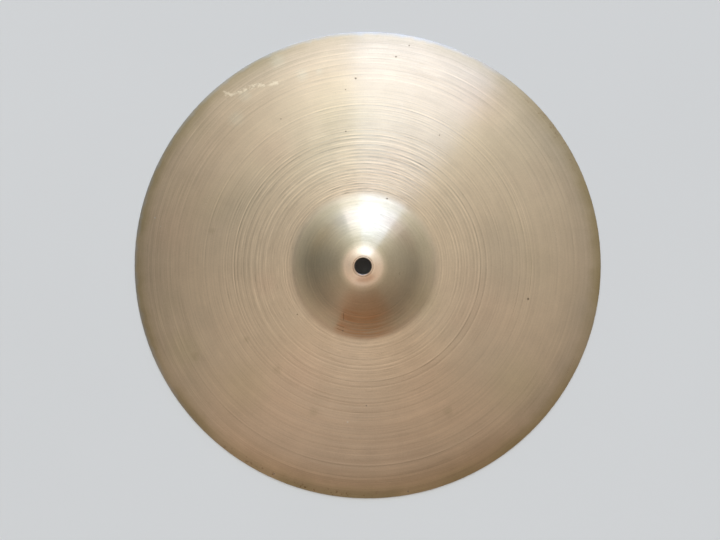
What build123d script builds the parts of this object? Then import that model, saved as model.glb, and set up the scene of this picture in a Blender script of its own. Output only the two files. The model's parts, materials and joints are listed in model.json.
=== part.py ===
from build123d import *

import os
from math import asin, cos, degrees, radians, sin, sqrt, tan

# A 14 inch cymbal: one disc of bell bronze, cast, rolled, hammered and turned on a lathe,
# with a raised bell in the middle and one plain hole through the crown of the bell.
#
# Frame: millimetres, +Z up along the cymbal's axis, from its open side to its crown.
# The origin is the centre of the circle that the rim stands on.

INCH = 25.4

# Driving dimensions of the disc
RIM_RADIUS = 14 * INCH / 2
HOLE_RADIUS = 6.0
BELL_THICKNESS = 1.35
RIM_THICKNESS = 0.95

# The upper face from the hole outwards, as the stations of a chain of arcs. It is smooth, except
# where the crown meets the level seat that is worn round the hole.
# Each slope is the fall of the face there, in degrees below level.
SEAT_RADIUS = 8.2  # end of the level seat round the hole, where the crown starts to fall
FLANK_RADIUS = 36.0  # where the domed crown has turned into a cone
COVE_RADIUS = 38.5  # where the cone starts to hollow out into the cove
BOW_RADIUS = 56.5  # where the cove runs out into the bow
FLANK_SLOPE = 36.0
BOW_SLOPE = 4.0
RIM_SLOPE = 10.0

# The crown is part of a ball about the cymbal's axis, so its slope grows with the radius.
CROWN_BALL = FLANK_RADIUS / sin(radians(FLANK_SLOPE))

# Small edges
HOLE_BEVEL = 0.25  # the small bevel that breaks the hole's upper edge, across and down
HOLE_LOWER_ROUND = 0.30
RIM_UPPER_ROUND = 0.35
RIM_LOWER_ROUND = 0.25
BEARING_WIDTH = 0.6  # the flat under the rim, where the cymbal stands, before it is rounded


def fall(slope):
    """The direction of a face that falls outwards by slope degrees."""
    return (cos(radians(slope)), -sin(radians(slope)))


def drop(inner, outer, inner_slope, outer_slope):
    """How far an arc falls between two radii. Its chord has the mean of its end slopes."""
    return (outer - inner) * tan(radians((inner_slope + outer_slope) / 2))


def crown_slope(radius, ball):
    """The fall of a ball's face at a radius from its axis, in degrees."""
    return degrees(asin(radius / ball))


def through(point, slope):
    """The point of the lower face straight through the sheet from a point of the upper face."""
    radius, height = point
    return (
        radius - BELL_THICKNESS * sin(radians(slope)),
        height - BELL_THICKNESS * cos(radians(slope)),
    )


def upper_face():
    """The upper face's stations, worked inwards from the rim by the fall of each stretch."""
    rim_height = RIM_THICKNESS
    bow_height = rim_height + drop(BOW_RADIUS, RIM_RADIUS, BOW_SLOPE, RIM_SLOPE)
    cove_height = bow_height + drop(COVE_RADIUS, BOW_RADIUS, FLANK_SLOPE, BOW_SLOPE)
    flank_height = cove_height + drop(FLANK_RADIUS, COVE_RADIUS, FLANK_SLOPE, FLANK_SLOPE)
    crown_start = crown_slope(SEAT_RADIUS, CROWN_BALL)
    seat_height = flank_height + drop(SEAT_RADIUS, FLANK_RADIUS, crown_start, FLANK_SLOPE)
    return {
        "hole": (HOLE_RADIUS + HOLE_BEVEL, seat_height),
        "seat": (SEAT_RADIUS, seat_height),
        "flank": (FLANK_RADIUS, flank_height),
        "cove": (COVE_RADIUS, cove_height),
        "bow": (BOW_RADIUS, bow_height),
        "end": (RIM_RADIUS, rim_height),
    }


def lower_seat_radius():
    """Where the level lower seat meets the underside of the crown, a ball with the same centre."""
    seat_above_centre = sqrt(CROWN_BALL**2 - SEAT_RADIUS**2) - BELL_THICKNESS
    return sqrt((CROWN_BALL - BELL_THICKNESS) ** 2 - seat_above_centre**2)


def lower_face(upper):
    """The lower face's stations, one bell thickness below the upper ones up to the bow."""
    seat_height = upper["seat"][1] - BELL_THICKNESS
    return {
        "hole": (HOLE_RADIUS, seat_height),
        "seat": (lower_seat_radius(), seat_height),
        "flank": through(upper["flank"], FLANK_SLOPE),
        "cove": through(upper["cove"], FLANK_SLOPE),
        "bow": through(upper["bow"], BOW_SLOPE),
        "end": (RIM_RADIUS - BEARING_WIDTH, 0.0),
    }


def face_line(at, ball):
    """One face of the sheet from hole to rim: level seat, domed crown, cone, cove and bow."""
    return [
        Line(at["hole"], at["seat"]),
        TangentArc(at["seat"], at["flank"], tangent=fall(crown_slope(at["seat"][0], ball))),
        Line(at["flank"], at["cove"]),
        TangentArc(at["cove"], at["bow"], tangent=fall(FLANK_SLOPE)),
        TangentArc(at["bow"], at["end"], tangent=fall(BOW_SLOPE)),
    ]


def half_section(upper, lower):
    """The closed half section: both faces, the rim wall, the bearing flat and the hole wall."""
    rim_foot = (RIM_RADIUS, 0.0)
    bevel_foot = (HOLE_RADIUS, upper["hole"][1] - HOLE_BEVEL)
    outline = face_line(upper, CROWN_BALL)
    outline += [Line(upper["end"], rim_foot), Line(rim_foot, lower["end"])]
    outline += face_line(lower, CROWN_BALL - BELL_THICKNESS)
    outline += [Line(lower["hole"], bevel_foot), Line(bevel_foot, upper["hole"])]
    return Plane.XZ * make_face(outline)


def circle_edge(solid, point):
    """The solid's circular edge through a point of the half section."""
    radius, height = point
    near = 0.02
    for edge in solid.edges().filter_by(GeomType.CIRCLE):
        if abs(edge.radius - radius) < near and abs(edge.arc_center.Z - height) < near:
            return edge
    raise ValueError(f"no circular edge of radius {radius} at height {height}")


def cymbal():
    """The whole cymbal, turned from its half section, with its rim and lower hole edge rounded."""
    upper = upper_face()
    lower = lower_face(upper)
    disc = revolve(half_section(upper, lower), Axis.Z, 360)
    rounds = [
        (lower["hole"], HOLE_LOWER_ROUND),
        (upper["end"], RIM_UPPER_ROUND),
        ((RIM_RADIUS, 0.0), RIM_LOWER_ROUND),
    ]
    for corner, radius in rounds:
        disc = fillet(circle_edge(disc, corner), radius)
    return disc


os.makedirs("parts", exist_ok=True)
export_step(cymbal(), "parts/cymbal.step")
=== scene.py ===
import cmath
import json
from math import asin, cos, degrees, pi, radians, sin, tan, tau

import bpy
import numpy as np
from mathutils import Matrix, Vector


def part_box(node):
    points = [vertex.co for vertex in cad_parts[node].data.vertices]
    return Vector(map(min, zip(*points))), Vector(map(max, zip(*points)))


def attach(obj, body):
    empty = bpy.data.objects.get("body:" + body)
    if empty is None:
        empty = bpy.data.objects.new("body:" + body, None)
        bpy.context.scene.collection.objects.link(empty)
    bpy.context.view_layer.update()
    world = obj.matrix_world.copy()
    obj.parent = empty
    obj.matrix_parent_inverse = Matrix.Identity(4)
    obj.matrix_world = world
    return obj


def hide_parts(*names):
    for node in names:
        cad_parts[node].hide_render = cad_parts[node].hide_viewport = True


# One bare bronze cymbal, bell up on a pale floor. The frame is the CAD model's: metres, +Z up along
# the cymbal's axis, with the origin at the centre of the circle that the rim stands on.

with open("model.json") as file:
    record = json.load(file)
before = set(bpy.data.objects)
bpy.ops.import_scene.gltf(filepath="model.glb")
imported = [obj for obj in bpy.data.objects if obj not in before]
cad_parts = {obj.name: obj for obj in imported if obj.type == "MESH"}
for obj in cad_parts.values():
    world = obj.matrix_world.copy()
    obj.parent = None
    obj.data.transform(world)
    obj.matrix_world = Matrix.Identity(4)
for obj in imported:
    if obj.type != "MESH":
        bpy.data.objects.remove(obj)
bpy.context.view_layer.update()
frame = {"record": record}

MM = 0.001
mounts = {mount["name"]: mount for mount in frame["record"]["mounts"]}

# Sizes of the disc, from the frame where it holds them
RIM_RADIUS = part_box("cymbal")[1].x
HOLE_RADIUS = mounts["centre_hole"]["dims"]["r_mm"] * MM
CROWN_HEIGHT = mounts["upper_seat"]["pos_m"][2]
BELL_THICKNESS = CROWN_HEIGHT - mounts["lower_seat"]["pos_m"][2]
RIM_THICKNESS = 1.04 * MM  # square to the face, just inside the rim

# The upper face outwards from the hole, as the CAD model has it: the outer radius of each stretch
SEAT_RADIUS = 8.2 * MM
CROWN_RADIUS = 36 * MM
FLANK_RADIUS = 38.5 * MM
COVE_RADIUS = 56.5 * MM

# Falls of the face in degrees: of the bell's flank, of the bow's inner end and of the rim. The
# crown is part of a ball about the axis, which sets its fall at the seat.
FLANK_FALL = 36
BOW_FALL = 4
RIM_FALL = 10
CROWN_FALL = degrees(asin(SEAT_RADIUS / CROWN_RADIUS * sin(radians(FLANK_FALL))))

# Each stretch's outer radius, and its fall at its inner and outer ends
STRETCHES = [
    (SEAT_RADIUS, 0, 0),
    (CROWN_RADIUS, CROWN_FALL, FLANK_FALL),
    (FLANK_RADIUS, FLANK_FALL, FLANK_FALL),
    (COVE_RADIUS, FLANK_FALL, BOW_FALL),
    (RIM_RADIUS, BOW_FALL, RIM_FALL),
]

# Edges of the hole and the rim
HOLE_BEVEL = 0.25 * MM
BEVEL_ROUND = 0.08 * MM
HOLE_LOWER_ROUND = 0.30 * MM
RIM_UPPER_ROUND = 0.35 * MM
RIM_LOWER_ROUND = 0.25 * MM
BEARING_WIDTH = 0.6 * MM

# How finely the mesh is cut
SPOKES = 128
UPPER_RINGS = 560
LOWER_RINGS = 170
ROUND_STEPS = 4

# Relief of the worked skin: the full depth of a groove, and of a hammer dent on each face
GROOVE_DEPTH = 0.05 * MM
UPPER_DENTS = 0.03 * MM
LOWER_DENTS = 0.04 * MM

# Rows of dents round the bow: radius of the first row, and the steps between rows and along a row
FIRST_DENTS = 64 * MM
DENT_ROWS = 12 * MM
DENT_STEP = 19 * MM

# Runs of turned grooves on the upper face: first radius and pitch in mm, how many, their share of
# the full depth (less than 0 for ridges), and the azimuth in degrees where they are deepest
UPPER_RUNS = [
    (22.0, 2.6, 5, 0.30, 95),
    (36.0, 2.4, 6, 0.40, 260),
    (55.6, 3.0, 1, 0.80, 60),
    (57.2, 2.1, 9, 1.00, 82),
    (58.0, 2.3, 3, 0.40, 275),
    (61.4, 2.9, 5, 1.00, 60),
    (66.9, 9.0, 1, 0.60, 30),
    (69.9, 3.3, 11, 0.45, 275),
    (76.4, 2.7, 11, 0.90, 82),
    (77.4, 5.0, 5, 0.55, 185),
    (81.4, 4.7, 3, 0.90, 15),
    (81.4, 4.6, 6, 0.55, 130),
    (90.8, 4.0, 2, 0.60, 5),
    (85.6, 40.0, 1, -0.90, 5),
    (105.0, 4.4, 2, 0.45, 205),
    (107.0, 3.3, 8, 0.45, 74),
    (115.9, 4.3, 4, 0.55, 50),
    (123.0, 3.9, 6, 0.35, 275),
    (136.5, 4.1, 9, 0.45, 80),
    (150.8, 12.4, 2, -0.60, 260),
    (171.4, 9.0, 1, -0.40, 262),
]
LOWER_RUNS = [
    (30.0, 2.4, 6, 0.4, 20),
    (58.0, 3.1, 9, 0.8, 140),
    (90.0, 4.2, 8, 0.7, 300),
    (128.0, 3.6, 10, 0.6, 60),
]
FAINT_FROM = 15.0  # radius in mm from which faint rings fill the gaps between the runs
QUIET = 0.12  # share of a groove's depth that is left opposite its deepest azimuth


# ---------------------------------------------------------------------------- shape


def upper_face(radii):
    """Height and fall (radians) of the nominal upper face. A stretch is an arc, or straight."""
    heights = np.full(len(radii), CROWN_HEIGHT)
    falls = np.zeros(len(radii))
    inner, height = HOLE_RADIUS, CROWN_HEIGHT
    for outer, inner_degrees, outer_degrees in STRETCHES:
        fall, outer_fall = radians(inner_degrees), radians(outer_degrees)
        inside = np.clip(radii, inner, outer) - inner
        if outer_fall == fall:
            stretch_falls = np.full(len(radii), fall)
            stretch_heights = height - inside * tan(fall)
            height -= (outer - inner) * tan(fall)
        else:
            bend = (outer - inner) / (sin(outer_fall) - sin(fall))
            stretch_falls = np.arcsin(sin(fall) + inside / bend)
            stretch_heights = height + bend * (np.cos(stretch_falls) - cos(fall))
            height += bend * (cos(outer_fall) - cos(fall))
        beyond = radii >= inner
        falls = np.where(beyond, stretch_falls, falls)
        heights = np.where(beyond, stretch_heights, heights)
        inner = outer
    return heights, falls


def sheet_thickness(radii):
    """Even over the bell, then thinning along the bow to the rim."""
    return np.interp(radii, [COVE_RADIUS, RIM_RADIUS], [BELL_THICKNESS, RIM_THICKNESS])


def all_grooves(runs, seed):
    """Every groove: radius and half width in mm, share of full depth, and azimuth where deepest."""
    rng = np.random.default_rng(seed)
    grooves = []
    for first, pitch, count, share, azimuth in runs:
        for k in range(count):
            at = first + pitch * k + rng.normal(0, 0.3)
            depth = share * rng.uniform(0.4, 1)
            grooves.append((at, rng.uniform(0.42, 0.75), depth, azimuth + rng.normal(0, 20)))
    at = FAINT_FROM
    while at * MM < RIM_RADIUS - 2 * MM:
        grooves.append((at, rng.uniform(0.36, 0.5), rng.uniform(-0.15, 0.3), rng.uniform(0, 360)))
        at += rng.uniform(0.6, 1.9)
    return grooves


def tool_marks(radii, angles, runs, seed):
    """Turned grooves: their height, from 0 down to -1, and each wall's tone from -1 to 1: burnish, with a
    painted highlight on one wall and painted shade on the other.
    """
    height = np.zeros(np.broadcast(radii, angles).shape)
    burnish = np.zeros(height.shape)
    for at, width, share, azimuth in all_grooves(runs, seed):
        away = (radii - at * MM) / (width * MM)
        hollow = np.exp(-(away**2))
        facing = 0.5 + 0.5 * np.cos(angles - radians(azimuth))
        here = share * (QUIET + (1 - QUIET) * facing**2)
        height -= here * hollow
        burnish += here * 2 * away * hollow
    return height, burnish


def hammer_marks(radii, angles, seed):
    """Overlapping shallow dents, in rows round the bow, from 0 down to -1 or so."""
    rng = np.random.default_rng(seed)
    x, y = radii * np.cos(angles), radii * np.sin(angles)
    height = np.zeros(x.shape)
    for row in np.arange(FIRST_DENTS, RIM_RADIUS, DENT_ROWS):
        count = round(tau * row / DENT_STEP)
        for k in range(count):
            at = row + rng.normal(0, 2.5 * MM)
            turn = tau * (k + rng.uniform(-0.4, 0.4)) / count
            reach = rng.uniform(4.5, 7) * MM
            away = (x - at * cos(turn)) ** 2 + (y - at * sin(turn)) ** 2
            height -= rng.uniform(0.4, 1) * np.exp(-away / (2 * reach**2))
    return height


def face_rings(radii, thickness, runs, dent_depth, seed):
    """Rings of one face, thickness below the nominal upper one: places, and their wall tone of burnish and
    painted light and shade.
    """
    heights, falls = upper_face(radii)
    at = (radii - thickness * np.sin(falls))[:, None]
    up = (heights - thickness * np.cos(falls))[:, None]
    angles = np.linspace(0, tau, SPOKES, endpoint=False)[None, :]
    grooves, burnish = tool_marks(at, angles, runs, seed)
    lift = GROOVE_DEPTH * grooves + dent_depth * hammer_marks(at, angles, seed + 1)
    dying_out = [HOLE_RADIUS, HOLE_RADIUS + 3 * MM, RIM_RADIUS - 4 * MM, RIM_RADIUS - 0.5 * MM]
    lift = lift * np.interp(at, dying_out, [0, 1, 1, 0])
    out = at + lift * np.sin(falls)[:, None]
    up = up + lift * np.cos(falls)[:, None]
    return np.stack([out * np.cos(angles), out * np.sin(angles), up], axis=2), burnish


def rounded_corner(radius, height, before, after, size):
    """Points of a small round at a corner of the section, between two directions, as (r, z)."""
    before, after = before / abs(before), after / abs(after)
    turn = cmath.phase(after / before)
    centre = complex(radius, height) - before * size * tan(abs(turn) / 2) - 1j * before * size
    turns = np.linspace(0, turn, ROUND_STEPS + 1)
    points = centre + 1j * before * size * np.exp(1j * turns)
    return [(point.real, point.imag) for point in points]


def edge_rings(points):
    """Plain rings of an edge, with no relief."""
    at = np.array([radius for radius, height in points])[:, None]
    up = np.array([height for radius, height in points])[:, None]
    angles = np.linspace(0, tau, SPOKES, endpoint=False)[None, :]
    rings = np.stack([at * np.cos(angles), at * np.sin(angles), up + 0 * angles], axis=2)
    return rings, np.zeros(rings.shape[:2])


def rim_edge():
    """The rim from the upper face down to the bearing flat."""
    fall = radians(RIM_FALL)
    wall_top = upper_face(np.array([RIM_RADIUS]))[0][0]
    upper = rounded_corner(RIM_RADIUS, wall_top, complex(cos(fall), -sin(fall)), -1j, RIM_UPPER_ROUND)
    lower = rounded_corner(RIM_RADIUS, 0, -1j, -1, RIM_LOWER_ROUND)
    return upper + lower


def hole_edge():
    """The hole from the lower face up to the upper face: round, wall and bevel."""
    bevel = complex(HOLE_BEVEL, HOLE_BEVEL)
    lower = rounded_corner(HOLE_RADIUS, CROWN_HEIGHT - BELL_THICKNESS, -1, 1j, HOLE_LOWER_ROUND)
    foot = rounded_corner(HOLE_RADIUS, CROWN_HEIGHT - HOLE_BEVEL, 1j, bevel, BEVEL_ROUND)
    top = rounded_corner(HOLE_RADIUS + HOLE_BEVEL, CROWN_HEIGHT, bevel, 1, BEVEL_ROUND)
    return lower + foot + top


def cymbal_rings():
    """All rings of the closed skin: upper face outwards, rim, lower face inwards, hole."""
    rim, hole = rim_edge(), hole_edge()
    upper_radii = np.linspace(hole[-1][0], rim[0][0], UPPER_RINGS + 2)[1:-1]
    lower_start = RIM_RADIUS - BEARING_WIDTH + RIM_THICKNESS * sin(radians(RIM_FALL))
    lower_radii = np.linspace(lower_start, hole[0][0], LOWER_RINGS + 2)[:-1]
    stretches = [
        face_rings(upper_radii, 0.0, UPPER_RUNS, UPPER_DENTS, seed=14),
        edge_rings(rim),
        face_rings(lower_radii, sheet_thickness(lower_radii), LOWER_RUNS, LOWER_DENTS, seed=31),
        edge_rings(hole),
    ]
    return [np.concatenate(parts) for parts in zip(*stretches)]


def add_uv_map(mesh, rings):
    """A UV map that runs round the disc in u and along its section in v."""
    steps = np.linalg.norm(np.diff(rings[:, 0], axis=0, append=rings[:1, 0]), axis=1)
    along = np.concatenate([[0], np.cumsum(steps)]) / steps.sum()
    around = np.linspace(0, 1, SPOKES + 1)
    inner = np.meshgrid(along[:-1], around[:-1], indexing="ij")
    outer = np.meshgrid(along[1:], around[1:], indexing="ij")
    u = np.stack([inner[1], inner[1], outer[1], outer[1]], axis=2)
    v = np.stack([inner[0], outer[0], outer[0], inner[0]], axis=2)
    layer = mesh.uv_layers.new(name="OFBake")
    layer.data.foreach_set("uv", np.stack([u, v], axis=3).astype(np.float32).ravel())


def cymbal_piece():
    """The closed mesh, with its UV map, each place's tone of burnish and painted light and shade, and its
    metal.
    """
    rings, burnish = cymbal_rings()
    count = len(rings)
    mesh = bpy.data.meshes.new("cymbal_turned")
    here = np.arange(count * SPOKES).reshape(count, SPOKES)
    out = np.roll(here, -1, axis=0)
    corners = np.stack([here, out, np.roll(out, -1, axis=1), np.roll(here, -1, axis=1)], axis=2)
    mesh.from_pydata(rings.reshape(-1, 3).tolist(), [], corners.reshape(-1, 4).tolist())
    add_uv_map(mesh, rings)
    burnish_and_shade_layer = mesh.attributes.new("burnish", "FLOAT", "POINT")
    burnish_and_shade_layer.data.foreach_set("value", burnish.astype(np.float32).ravel())

    mesh.shade_smooth()
    piece = bpy.data.objects.new("cymbal_turned", mesh)
    bpy.context.scene.collection.objects.link(piece)
    mesh.materials.append(bronze())
    return piece


# ---------------------------------------------------------------------------- materials


class Recipe:
    """A node tree, with a short method for each kind of step."""

    def __init__(self, owner):
        owner.use_nodes = True
        self.owner = owner
        self.tree = owner.node_tree

    def node(self, kind, inputs, **settings):
        """A new node with its settings, and its inputs by name or number."""
        made = self.tree.nodes.new(kind)
        for name, value in settings.items():
            setattr(made, name, value)
        for key, value in inputs.items():
            self.feed(made.inputs[key], value)
        return made

    def feed(self, socket, value):
        """Links a socket to another node's output, or sets it to a plain value."""
        if isinstance(value, bpy.types.NodeSocket):
            self.tree.links.new(value, socket)
        else:
            socket.default_value = value

    def maths(self, operation, a, b=0.0):
        return self.node("ShaderNodeMath", {0: a, 1: b}, operation=operation).outputs[0]

    def vector(self, operation, a, b=(0, 0, 0)):
        return self.node("ShaderNodeVectorMath", {0: a, 1: b}, operation=operation)

    def scaled(self, vector, factor):
        return self.node("ShaderNodeVectorMath", {0: vector, "Scale": factor}, operation="SCALE").outputs[0]

    def fade(self, value, start, end):
        """0 at start, 1 at end, with a soft run between."""
        inputs = {"Value": value, "From Min": start, "From Max": end}
        return self.node("ShaderNodeMapRange", inputs, interpolation_type="SMOOTHSTEP").outputs[0]

    def spread(self, value, low, high):
        """A 0 to 1 value spread from low to high."""
        return self.node("ShaderNodeMapRange", {"Value": value, "To Min": low, "To Max": high}).outputs[0]

    def blend(self, share, first, second):
        """second over first by share, for colours."""
        mix = self.node("ShaderNodeMix", {"Factor": share}, data_type="RGBA")
        self.feed(mix.inputs[6], first)
        self.feed(mix.inputs[7], second)
        return mix.outputs[2]

    def noise(self, vector, scale, detail=2.0):
        inputs = {"Vector": vector, "Scale": scale, "Detail": detail}
        return self.node("ShaderNodeTexNoise", inputs).outputs["Fac"]

    def product(self, *values):
        total = values[0]
        for value in values[1:]:
            total = self.maths("MULTIPLY", total, value)
        return total

    def sum(self, *values):
        total = values[0]
        for value in values[1:]:
            total = self.maths("ADD", total, value)
        return total

    def most(self, first, second):
        """The larger of two values."""
        return self.maths("MAXIMUM", first, second)

    def uneven(self, value):
        """A noise as a swing about 0."""
        return self.maths("SUBTRACT", value, 0.5)


def aim(azimuth, height=0.0):
    """The direction at an azimuth and a height above level, in degrees."""
    level = cos(radians(height))
    return Vector((cos(radians(azimuth)) * level, sin(radians(azimuth)) * level, sin(radians(height))))


class DiscRecipe(Recipe):
    """A recipe with the disc's own directions: how far out a point is, and which way."""

    def __init__(self, name):
        super().__init__(bpy.data.materials.new(name))
        self.shader = self.tree.nodes["Principled BSDF"]
        self.place = self.node("ShaderNodeTexCoord", {}).outputs["Object"]
        self.flat = self.vector("MULTIPLY", self.place, (1, 1, 0)).outputs[0]
        self.radius = self.vector("LENGTH", self.flat).outputs["Value"]
        self.direction = self.vector("NORMALIZE", self.flat).outputs[0]
        normal = self.node("ShaderNodeNewGeometry", {}).outputs["True Normal"]
        self.upper = self.fade(self.node("ShaderNodeSeparateXYZ", {0: normal}).outputs[2], -0.1, 0.1)

    def rings(self, width, turns, detail=2.0, shift=0.0):
        """Noise drawn out round the axis: a ring's width in metres, and how often it breaks in a turn."""
        across = self.maths("ADD", self.maths("DIVIDE", self.radius, width), shift)
        lift = self.node("ShaderNodeCombineXYZ", {"Z": across}).outputs[0]
        place = self.vector("ADD", self.scaled(self.direction, turns), lift).outputs[0]
        return self.noise(place, 1.0, detail)

    def lines(self, width, turns, shift):
        """Thin rings, light above 0 and dark below it, which stand out from a plain ground."""
        level = self.uneven(self.rings(width, turns, 3, shift))
        signed_square = self.product(level, self.maths("ABSOLUTE", level))
        return self.product(signed_square, 8)

    def towards(self, azimuth, half_width, core=0):
        """1 within core degrees of a direction from the axis, 0 outside half_width degrees of it."""
        facing = self.vector("DOT_PRODUCT", self.direction, aim(azimuth)).outputs["Value"]
        return self.fade(facing, cos(radians(half_width)), cos(radians(core)))

    def band(self, inner, rise, fall, outer):
        """1 between the radii rise and fall, 0 inside inner and outside outer, all in mm."""
        inwards = self.fade(self.radius, inner * MM, rise * MM)
        return self.product(inwards, self.fade(self.radius, outer * MM, fall * MM))

    def ramp(self, share, stops, full):
        """A 0 to 1 value that runs straight from stop to stop: places from 0 to full, and values."""
        ramp = self.node("ShaderNodeValToRGB", {"Fac": share})
        ends = ramp.color_ramp.elements
        ends[0].position, ends[1].position = 0.0, 1.0
        ends[0].color = (*[stops[0][1]] * 3, 1)
        ends[1].color = (*[stops[-1][1]] * 3, 1)
        for place, value in stops:
            ends.new(place / full).color = (value, value, value, 1)
        return ramp.outputs["Color"]

    def by_radius(self, stops):
        """A value from 0 to 1 that runs from stop to stop outwards, each at a radius in mm."""
        return self.ramp(self.maths("DIVIDE", self.radius, RIM_RADIUS), stops, RIM_RADIUS / MM)

    def by_azimuth(self, stops):
        """A value from 0 to 1 that runs from stop to stop round the axis, from 0 to 360 degrees."""
        x, y = self.node("ShaderNodeSeparateXYZ", {0: self.direction}).outputs[:2]
        turn = self.maths("DIVIDE", self.maths("ARCTAN2", y, x), tau)
        return self.ramp(self.maths("FRACT", self.maths("ADD", turn, 1.0)), stops, 360)

    def wandered(self, reach):
        """Places shifted a little by noise, up to reach in mm, for ragged edges."""
        noise = self.node("ShaderNodeTexNoise", {"Vector": self.place, "Scale": 900}).outputs["Color"]
        centred = self.vector("SUBTRACT", noise, (0.5, 0.5, 0.5)).outputs[0]
        return self.vector("ADD", self.flat, self.scaled(centred, 2 * reach * MM)).outputs[0]

    def spots(self, places, edge=0.5, ragged=0.4):
        """1 within each spot: (radius in mm, azimuth in degrees, size in mm). edge is how much of
        its size is whole before it fades, and ragged how far its outline wanders, in mm."""
        here = self.wandered(ragged)
        total = 0.0
        for radius, azimuth, size in places:
            away = self.vector("DISTANCE", here, aim(azimuth) * radius * MM).outputs["Value"]
            total = self.most(self.fade(away, size * MM, size * MM * edge), total)
        return total

    def streaks(self, places, ragged=0.8):
        """1 along each straight streak: radius and azimuth of its two ends, and half width in mm."""
        here = self.wandered(ragged)
        total = 0.0
        for start_radius, start_azimuth, end_radius, end_azimuth, width in places:
            start = aim(start_azimuth) * start_radius * MM
            run = aim(end_azimuth) * end_radius * MM - start
            from_start = self.vector("SUBTRACT", here, start).outputs[0]
            along = self.vector("DOT_PRODUCT", from_start, run / run.length_squared).outputs["Value"]
            along = self.maths("MINIMUM", self.most(along, 0.0), 1.0)
            nearest = self.scaled(run, along)
            away = self.vector("DISTANCE", from_start, nearest).outputs["Value"]
            total = self.most(self.fade(away, width * MM, 0.0), total)
        return total


# Colours of the skin
CLEAN = (0.92, 0.742, 0.528, 1)
DULL = (0.84, 0.69, 0.50, 1)
OLIVE = (0.78, 0.665, 0.43, 1)
PINK = (0.93, 0.70, 0.505, 1)
WARM_TINT_AND_REFLECTION = (0.93, 0.68, 0.455, 1)
COPPER = (1.0, 0.775, 0.57, 1)
PAINTED_COLLAR_HIGHLIGHT = (1.0, 0.90, 0.74, 1)

# Colours of the rim
OCHRE = (0.60, 0.47, 0.24, 1)
AMBER = (0.90, 0.60, 0.33, 1)
RUBBED_AND_GLINT = (0.74, 0.72, 0.68, 1)
RUST = (0.36, 0.20, 0.09, 1)

# Colours of the stains, scuffs and specks, and of the painted reflection and shade
TARNISH_AND_SHADE = (0.56, 0.45, 0.28, 1)
REFLECTED_BROWN = (0.86, 0.42, 0.19, 1)
ORANGE_STAIN_AND_SHADE = (0.80, 0.50, 0.32, 1)
PALE = (1.0, 0.88, 0.66, 1)
DARK = (0.25, 0.15, 0.09, 1)
BARE = (1.0, 0.93, 0.8, 1)
SCUFFED = (0.98, 0.82, 0.60, 1)
BLACK = (0.22, 0.16, 0.11, 1)

# Spots of wear and colour: radius in mm, azimuth in degrees, size in mm
SPECKS = [
    (141, 92.6, 0.9), (170, 78.5, 0.7), (159.5, 81.4, 0.8), (133, 96, 0.6), (101, 97.7, 0.6),
    (127, 119.5, 0.6), (112, 60, 0.7), (52.4, 71, 0.8), (61, 216, 0.7), (50, 252, 0.7),
    (175, 281, 0.9), (174, 246.5, 0.8), (104, 271, 0.6), (124, 348.7, 1.0),
]
PALE_PATCHES = [(170, 113, 9), (148, 131, 9), (158, 125, 7), (152, 108, 7), (151, 103, 4)]
BRIGHT_PITS = [(165, 167, 0.8), (117.5, 264, 0.9), (159, 169, 0.5)]
SMUDGES = [
    (118, 167, 4), (116, 251, 5), (101.5, 230, 5), (104, 212, 4), (146, 208, 5), (125, 300, 6),
]
OLIVE_PATCHES = [
    (145, 322, 34), (128, 226, 30), (152, 205, 22), (168, 140, 18), (48, 330, 20), (38, 20, 18),
]
PINK_PATCHES = [
    (128, 283, 42), (152, 170, 26), (92, 240, 26), (110, 128, 24), (150, 55, 30), (75, 190, 16),
]

# Streaks: radius and azimuth of both ends, and half width in mm
PALE_SCUFFS = [
    (171, 129.0, 165, 127.6, 2.2), (167, 129.6, 160, 121, 2.8), (160, 121, 152.2, 114, 2.4),
]
DARK_SCUFFS = [(37, 247, 42, 249.4, 0.6), (47.5, 245.2, 47.3, 252, 0.5), (50, 246.7, 50, 253, 0.5)]

# The brown at the foot of the bell, a painted warm reflection: azimuth in degrees, and share
FOOT_REFLECTION = [(0, 0), (243, 0), (248, 1), (282, 0.9), (302, 0), (360, 0)]

# How light the skin is from the hole to the rim: radius in mm, and share of the cleanest metal
LIGHTNESS = [
    (6.0, 0.55), (6.4, 0.75), (7.3, 0.82), (8.4, 0.94), (11.0, 1.0), (13.0, 0.93), (15.0, 0.78),
    (18.5, 0.635), (26.0, 0.665), (33.0, 0.70), (40.0, 0.735), (46.0, 0.71), (50.0, 0.73),
    (54.0, 0.71), (60.0, 0.725), (80.0, 0.725), (95.0, 0.71), (118.0, 0.73), (140.0, 0.72),
    (154.0, 0.70), (164.0, 0.645), (172.0, 0.61), (177.0, 0.60),
]

# How strongly the lathe's thin lines show: by radius in mm, and by azimuth in degrees
MARKED = [
    (6.0, 0.3), (16.0, 0.5), (50.0, 0.6), (54.0, 1.0), (74.0, 1.0), (82.0, 0.9), (104.0, 0.6),
    (112.0, 0.38), (135.0, 0.40), (150.0, 0.58), (170.0, 0.65),
]
# Round the axis the lines are strongest towards the window, where they stand for painted glints of the
# grooves.
AROUND_AND_GLINT = [
    (0, 0.28), (48, 0.32), (62, 0.66), (102, 0.66), (118, 0.42), (200, 0.48),
    (222, 0.30), (256, 0.34), (270, 0.43), (305, 0.37), (320, 0.26), (360, 0.28),
]


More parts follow.
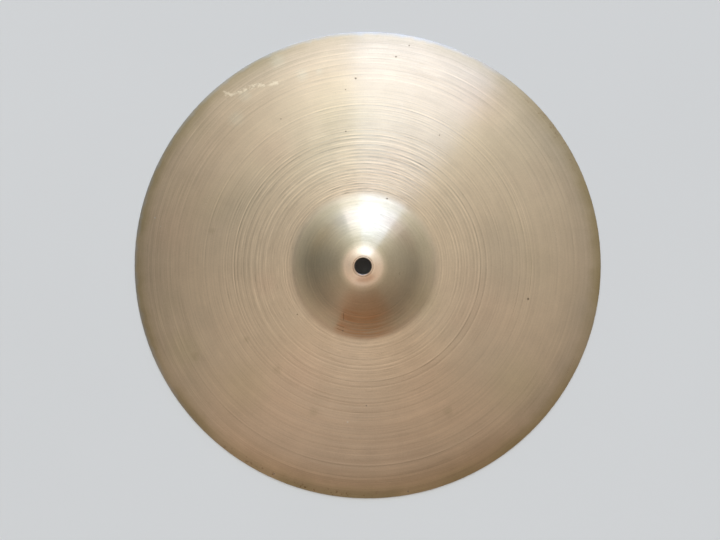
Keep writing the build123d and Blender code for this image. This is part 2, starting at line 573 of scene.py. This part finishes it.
def turned_tone(recipe):
    """How the lathe's marks and the metal's grain lighten and darken the skin: about 1. The marks are
    partly painted light: glints and shade of the groove walls, strongest towards the window.
    """
    long_lines = recipe.product(recipe.lines(1.9 * MM, 0.8, shift=10), 0.70)
    short_lines = recipe.product(recipe.lines(0.9 * MM, 7, shift=20), 0.80)
    lines = recipe.product(recipe.sum(long_lines, short_lines), recipe.by_radius(MARKED))

    # The groove walls' tone: partly burnish, partly a painted highlight on one wall and painted shade on
    # the other.
    wall_burnish_and_shade = recipe.node("ShaderNodeAttribute", {}, attribute_name="burnish").outputs["Fac"]
    broken = recipe.spread(recipe.rings(3 * MM, 6, shift=40), -0.7, 2.7)
    grooves = recipe.product(wall_burnish_and_shade, broken, 0.50)
    # Painted glints and shade of the groove walls, strongest towards the window.
    marks = recipe.product(recipe.sum(lines, grooves), recipe.by_azimuth(AROUND_AND_GLINT))

    outer = recipe.fade(recipe.radius, 60 * MM, 150 * MM)
    near_side = recipe.spread(recipe.towards(258, 75, 25), 0.13, 0.26)
    bands = recipe.product(recipe.uneven(recipe.rings(4.5 * MM, 0.9, shift=70)), outer, near_side)
    grain = recipe.product(recipe.uneven(recipe.noise(recipe.place, 900, detail=1)), 0.13)
    mottle = recipe.product(recipe.uneven(recipe.noise(recipe.place, 50, detail=4)), 0.21)
    return recipe.sum(marks, bands, grain, mottle, 1.0)


def skin_colour(recipe):
    """Clean bronze in an aged skin, with olive, pink and dull patches, a painted warm reflection on the
    near side and a warm tint on the far side's outer bow, and copper round the hole with a painted
    highlight towards the window.
    """
    cloud = recipe.noise(recipe.place, 16, detail=3)
    shifted = recipe.vector("ADD", recipe.place, (3, 1, 0)).outputs[0]
    blotch = recipe.noise(shifted, 11, detail=3)
    colour = recipe.blend(recipe.fade(cloud, 0.35, 0.75), CLEAN, DULL)
    greener = recipe.most(recipe.fade(blotch, 0.5, 0.8), recipe.spots(OLIVE_PATCHES, 0.1, 5))
    pinker = recipe.most(recipe.fade(blotch, 0.5, 0.25), recipe.spots(PINK_PATCHES, 0.1, 5))
    colour = recipe.blend(recipe.product(greener, 0.5), colour, OLIVE)
    colour = recipe.blend(recipe.product(pinker, 0.45), colour, PINK)

    # Warmer towards the near side: a painted warm reflection of the surroundings.
    near_side = recipe.product(recipe.towards(268, 58, 18), 0.6)
    colour = recipe.blend(near_side, colour, WARM_TINT_AND_REFLECTION)
    outer = recipe.fade(recipe.radius, 90 * MM, 150 * MM)
    far_side = recipe.product(recipe.towards(120, 90, 40), outer, 0.5)
    colour = recipe.blend(far_side, colour, WARM_TINT_AND_REFLECTION)

    bell = recipe.fade(recipe.radius, 54 * MM, 48 * MM)
    colour = recipe.blend(recipe.product(bell, 0.45), colour, OLIVE)
    # Whiter towards the window: a painted highlight on the collar.
    collar = recipe.blend(recipe.product(recipe.towards(70, 75), 0.4), COPPER, PAINTED_COLLAR_HIGHLIGHT)
    return recipe.blend(recipe.fade(recipe.radius, 17 * MM, 12 * MM), colour, collar)


def rim_tarnish_and_glint(recipe, colour):
    """Ragged ochre along the rim, amber on the near side, a pale edge that is partly rubbed metal and
    partly a painted glint of the edge catching the light, and rust specks.
    """
    outer = recipe.fade(recipe.radius, 150 * MM, 174 * MM)
    tint = recipe.product(recipe.towards(272, 50, 18), outer, 0.6)
    colour = recipe.blend(tint, colour, AMBER)

    ragged = recipe.product(recipe.noise(recipe.place, 120, detail=3), 5 * MM)
    ragged_radius = recipe.sum(recipe.radius, ragged)
    wide = recipe.fade(ragged_radius, RIM_RADIUS - 10 * MM, RIM_RADIUS + 3 * MM)
    patches = recipe.fade(recipe.noise(recipe.direction, 3.5, detail=4), 0.35, 0.65)
    tarnished = recipe.spread(recipe.towards(262, 175, 130), 0.35, 1.0)
    edge = recipe.product(wide, recipe.spread(patches, 0.35, 0.9), tarnished)
    colour = recipe.blend(edge, colour, OCHRE)

    # The pale edge, strongest away from 318 degrees: partly rubbed metal, partly a painted glint.
    narrow = recipe.fade(ragged_radius, RIM_RADIUS - 1 * MM, RIM_RADIUS + 3 * MM)
    other_side = recipe.maths("SUBTRACT", 1.0, recipe.towards(318, 115, 80))
    colour = recipe.blend(recipe.product(narrow, other_side, 0.7), colour, RUBBED_AND_GLINT)

    grit = recipe.fade(recipe.noise(recipe.place, 420, detail=2), 0.60, 0.72)
    handled = recipe.most(recipe.towards(252, 28), recipe.product(recipe.towards(35, 20), 0.4))
    specks = recipe.product(grit, handled, recipe.fade(recipe.radius, 170 * MM, 175 * MM), 0.7)
    return recipe.blend(specks, colour, RUST)


def bell_marks_and_painted_light(recipe, colour):
    """A painted warm brown reflection at the foot of the bell and up its flank on the near side, dark
    scuffs, and a painted shade band opposite.
    """
    streaky = recipe.spread(recipe.rings(1.1 * MM, 2, shift=60), -0.4, 1.8)
    # A painted warm reflection on the near side, up the bell's flank and at its foot.
    glow = recipe.product(recipe.towards(270, 42, 6), recipe.band(10, 26, 34, 46), 0.42)
    colour = recipe.blend(glow, colour, REFLECTED_BROWN)
    foot = recipe.product(recipe.by_azimuth(FOOT_REFLECTION), recipe.band(28, 39, 51, 55), streaky, 0.70)
    colour = recipe.blend(foot, colour, REFLECTED_BROWN)
    scuffs = recipe.product(recipe.streaks(DARK_SCUFFS, 0.3), 0.5)
    colour = recipe.blend(scuffs, colour, DARK)
    # A painted shade band below the bell's highlight, towards the window.
    highlight_edge_shade = recipe.product(recipe.band(17, 19, 21, 24), recipe.towards(94, 35, 10), streaky, 0.3)
    return recipe.blend(highlight_edge_shade, colour, TARNISH_AND_SHADE)


def hole_wear_and_shade(recipe, colour):
    """Orange on the collar's near side, partly a stain and partly painted shade, a ring round the hole
    darker away from the window, and a thin dark ring inside it.
    """
    # Orange on the collar's near side: partly a stain, partly painted shade on the side that falls away
    # from the light.
    stain_and_shade = recipe.product(recipe.towards(282, 48, 16), recipe.band(6, 7, 9.5, 13), 0.70)
    colour = recipe.blend(stain_and_shade, colour, ORANGE_STAIN_AND_SHADE)
    # The ring round the hole, darker most on the side away from the window.
    away_side_darkening = recipe.product(recipe.band(6, 6.4, 7.4, 8.6), recipe.towards(235, 115, 45), 0.28)
    colour = recipe.blend(away_side_darkening, colour, DARK)
    patchy = recipe.fade(recipe.noise(recipe.place, 700), 0.3, 0.5)
    chatter = recipe.product(recipe.band(6.8, 7.05, 7.25, 7.6), patchy, 0.55)
    return recipe.blend(chatter, colour, DARK)


def bow_wear(recipe, colour):
    """Smudges, pale patches, one thin dark arc and bright pits on the bow."""
    smudge = recipe.product(recipe.spots(SMUDGES, 0.1, 1.0), 0.3)
    colour = recipe.blend(smudge, colour, TARNISH_AND_SHADE)
    patch = recipe.product(recipe.spots(PALE_PATCHES, 0.1, 4), 0.35)
    colour = recipe.blend(patch, colour, PALE)
    arc = recipe.product(recipe.band(123.4, 123.8, 124.0, 124.4), recipe.towards(357, 9), 0.35)
    colour = recipe.blend(arc, colour, TARNISH_AND_SHADE)
    pit = recipe.product(recipe.spots(BRIGHT_PITS, edge=0.3), 0.8)
    return recipe.blend(pit, colour, BARE)


def bronze_colour(recipe, speck):
    """The skin, its stains and the painted reflection and shade on the upper face alone, the lathe's marks,
    and scuffs and specks on top.
    """
    colour = rim_tarnish_and_glint(recipe, skin_colour(recipe))
    worn_and_painted_light = bow_wear(recipe, hole_wear_and_shade(recipe, bell_marks_and_painted_light(recipe, colour)))
    colour = recipe.blend(recipe.upper, colour, worn_and_painted_light)
    tone = recipe.product(turned_tone(recipe), recipe.by_radius(LIGHTNESS))
    colour = recipe.scaled(colour, tone)
    flaky = recipe.fade(recipe.noise(recipe.place, 300, detail=3), 0.44, 0.58)
    scuff = recipe.product(recipe.streaks(PALE_SCUFFS, 1.5), flaky, recipe.upper, 0.6)
    colour = recipe.blend(scuff, colour, SCUFFED)
    return recipe.blend(recipe.product(speck, 0.65), colour, BLACK)


def bronze_relief(recipe, fine):
    """The steeper collar and foot of the bell, and over them the finest turned marks."""
    collar = recipe.fade(recipe.radius, 13 * MM, 6 * MM)
    foot = recipe.fade(recipe.radius, 54.5 * MM, 47.5 * MM)
    falls = recipe.product(recipe.sum(collar, foot), recipe.upper)
    steeper = recipe.node("ShaderNodeBump", {"Distance": 0.42 * MM, "Height": falls}).outputs[0]
    hairline = recipe.rings(0.35 * MM, 3, detail=2, shift=90)
    marks = recipe.sum(recipe.product(fine, 0.6), recipe.product(hairline, 0.4))
    relief = {"Strength": 0.5, "Distance": 0.05 * MM, "Height": marks, "Normal": steeper}
    return recipe.node("ShaderNodeBump", relief).outputs[0]


def bronze():
    """Bell bronze turned on a lathe: satin, drawn out across its grooves, with an aged skin."""
    recipe = DiscRecipe("bell_bronze")
    speck = recipe.product(recipe.spots(SPECKS), recipe.upper)
    fine = recipe.rings(0.9 * MM, 1.5, detail=3)
    satin = recipe.sum(recipe.spread(fine, 0.25, 0.35), recipe.product(speck, 0.3))
    looks = {
        "Base Color": bronze_colour(recipe, speck),
        "Metallic": 1.0,
        "Roughness": satin,
        "Anisotropic": 0.95,
        "Anisotropic Rotation": 0.25,
        "Normal": bronze_relief(recipe, fine),
    }
    for name, value in looks.items():
        recipe.feed(recipe.shader.inputs[name], value)
    return recipe.owner


def floor_material():
    """A plain pale matt board."""
    recipe = Recipe(bpy.data.materials.new("pale_floor"))
    shader = recipe.tree.nodes["Principled BSDF"]
    place = recipe.node("ShaderNodeTexCoord", {}).outputs["Object"]
    tone = recipe.noise(place, 3, detail=3)
    colour = recipe.blend(tone, (0.70, 0.70, 0.69, 1), (0.74, 0.74, 0.73, 1))
    recipe.feed(shader.inputs["Base Color"], colour)
    recipe.feed(shader.inputs["Roughness"], 0.85)
    return recipe.owner


# ---------------------------------------------------------------------------- studio


def add_floor():
    """A floor so wide that its edge is far away."""
    bpy.ops.mesh.primitive_plane_add(size=12)
    floor = bpy.context.object
    floor.name = "floor"
    floor.data.materials.append(floor_material())


def add_lamp(name, kind, power, colour, way):
    """A lamp that shines against a direction, towards the cymbal. It isn't itself in view."""
    light = bpy.data.lights.new(name, kind)
    light.energy = power
    light.color = colour
    lamp = bpy.data.objects.new(name, light)
    lamp.rotation_mode = "QUATERNION"
    lamp.rotation_quaternion = way.to_track_quat("Z", "Y")
    lamp.visible_camera = False
    bpy.context.scene.collection.objects.link(lamp)
    return lamp


def add_pane(name, azimuths, heights, radiance, colour):
    """One pane of the window that shows in the metal, between azimuths and heights in degrees."""
    distance = 1.4
    azimuth, height = sum(azimuths) / 2, sum(heights) / 2
    way = aim(azimuth, height)
    width = 2 * distance * cos(radians(height)) * tan(radians(azimuths[1] - azimuths[0]) / 2)
    tall = 2 * distance * tan(radians(heights[1] - heights[0]) / 2)
    lamp = add_lamp(name, "AREA", radiance * pi * width * tall, colour, way)
    lamp.location = way * distance
    lamp.data.shape = "RECTANGLE"
    lamp.data.size, lamp.data.size_y = width, tall
    lamp.visible_diffuse = False


def add_floor_light():
    """Wide soft light from the window's side. It only lights the floor, with no glare on the metal."""
    lamp = add_lamp("floor_light", "SUN", 0.75, (1.0, 0.99, 0.97), aim(90, 52))
    lamp.data.angle = radians(60)
    lamp.visible_glossy = False


# The window's panes: azimuths, heights, radiance and colour
PANES = [
    ("low_left", (95, 112), (5, 25), 2.25, (0.61, 0.61, 0.82)),
    ("low_middle", (78, 95), (5, 25), 1.99, (0.51, 0.59, 0.94)),
    ("low_right", (56, 78), (5, 25), 1.99, (0.55, 0.60, 0.89)),
    ("low_side", (44, 56), (5, 25), 0.76, (0.68, 0.70, 0.92)),
    ("high_middle", (78, 95), (25, 50), 1.94, (0.31, 0.48, 0.95)),
    ("high_right", (56, 78), (25, 50), 1.94, (0.31, 0.48, 0.95)),
]

# Soft glows of the room: azimuth and height in degrees, how narrow, and their light
GLOWS = [
    (90, 40, 8, (1.64, 1.87, 1.88)),
    (0, 90, 12, (1.00, 0.92, 0.85)),
    (90, 5, 8, (0.74, 1.27, 2.61)),
    (45, 5, 8, (0.45, 0.33, 0.37)),
    (135, 5, 8, (0.32, 0.26, 0.14)),
    (0, 40, 8, (0.37, 0.37, 0.37)),
    (45, 40, 8, (0.38, 0.44, 0.46)),
    (135, 40, 8, (0.34, 0.37, 0.43)),
    (180, 40, 8, (0.12, 0.15, 0.15)),
    (225, 40, 8, (0.43, 0.34, 0.29)),
    (315, 40, 8, (0.30, 0.23, 0.19)),
    (270, 5, 8, (0.36, 0.27, 0.19)),
    (238, 25, 60, (0.23, 0.21, 0.22)),
]


def add_room():
    """Dark surroundings with soft glows all round, which look even and pale to the camera."""
    room = Recipe(bpy.data.worlds.new("room"))
    bpy.context.scene.world = room.owner
    way = room.node("ShaderNodeTexCoord", {}).outputs["Generated"]
    light = (0.0, 0.0, 0.0)
    for azimuth, height, narrowness, colour in GLOWS:
        facing = room.vector("DOT_PRODUCT", way, aim(azimuth, height)).outputs["Value"]
        glow = room.maths("POWER", room.maths("MAXIMUM", facing, 0.0), narrowness)
        light = room.vector("ADD", light, room.scaled(colour, glow)).outputs[0]
    seen = room.node("ShaderNodeLightPath", {}).outputs["Is Camera Ray"]
    light = room.blend(seen, light, (0.62, 0.62, 0.61, 1))
    room.feed(room.tree.nodes["Background"].inputs["Color"], light)


def add_camera():
    """Nearly straight down on the bell, from about 0.44 m above the floor."""
    camera = bpy.data.cameras.new("camera")
    camera.sensor_width = 36
    camera.lens = 29.1
    eye = bpy.data.objects.new("camera", camera)
    eye.location = (12.35 * MM, 1.38 * MM, 444.46 * MM)
    eye.rotation_euler = (radians(-0.565), radians(2.027), 0)
    bpy.context.scene.collection.objects.link(eye)
    bpy.context.scene.camera = eye


def main():
    cymbal = cymbal_piece()
    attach(cymbal, "root")
    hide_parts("cymbal")
    add_floor()
    add_room()
    for pane in PANES:
        add_pane(*pane)
    add_floor_light()
    add_camera()
    bpy.context.scene.view_settings.view_transform = "Standard"


main()
